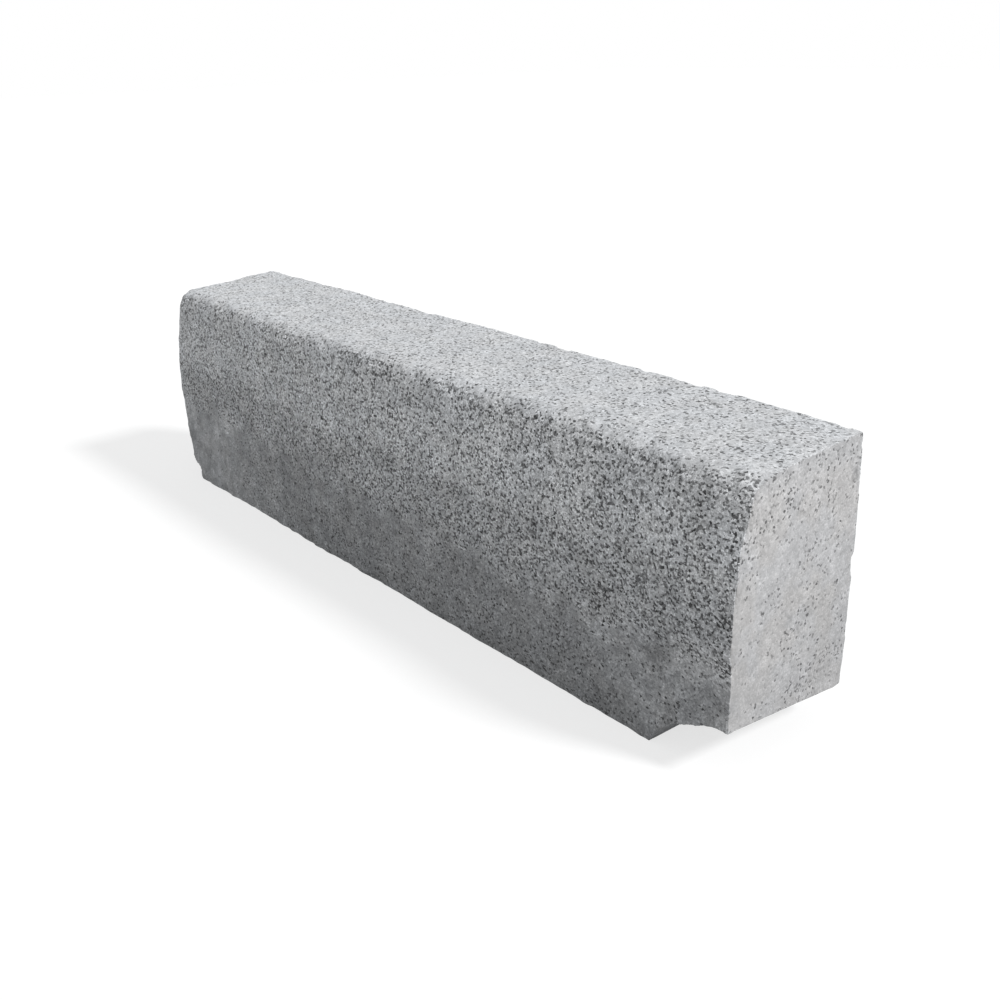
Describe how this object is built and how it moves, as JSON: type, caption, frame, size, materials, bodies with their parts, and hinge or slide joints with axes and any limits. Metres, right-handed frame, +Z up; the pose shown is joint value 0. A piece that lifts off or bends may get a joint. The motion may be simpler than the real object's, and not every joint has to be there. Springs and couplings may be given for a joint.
{
  "type": "granite kerb stone",
  "caption": "Single hewn granite kerb stone with a dressed top and road face, rounded front arris, one split end and a broken foot.",
  "frame": {"origin": "centre of the stone's outline on plan, on its flat bedding face", "axes": "+X along the kerb towards the dressed end, +Y across it towards the back, +Z up; the road face looks towards -Y"},
  "size_m": [1.0184, 0.1576, 0.2718],
  "materials": {
    "granite": "bush-hammered fine-grained grey granite, smoother and darker on the raw lower face"
  },
  "bodies": {
    "root": {"kerb_stone": "granite"}
  },
  "joints": []
}
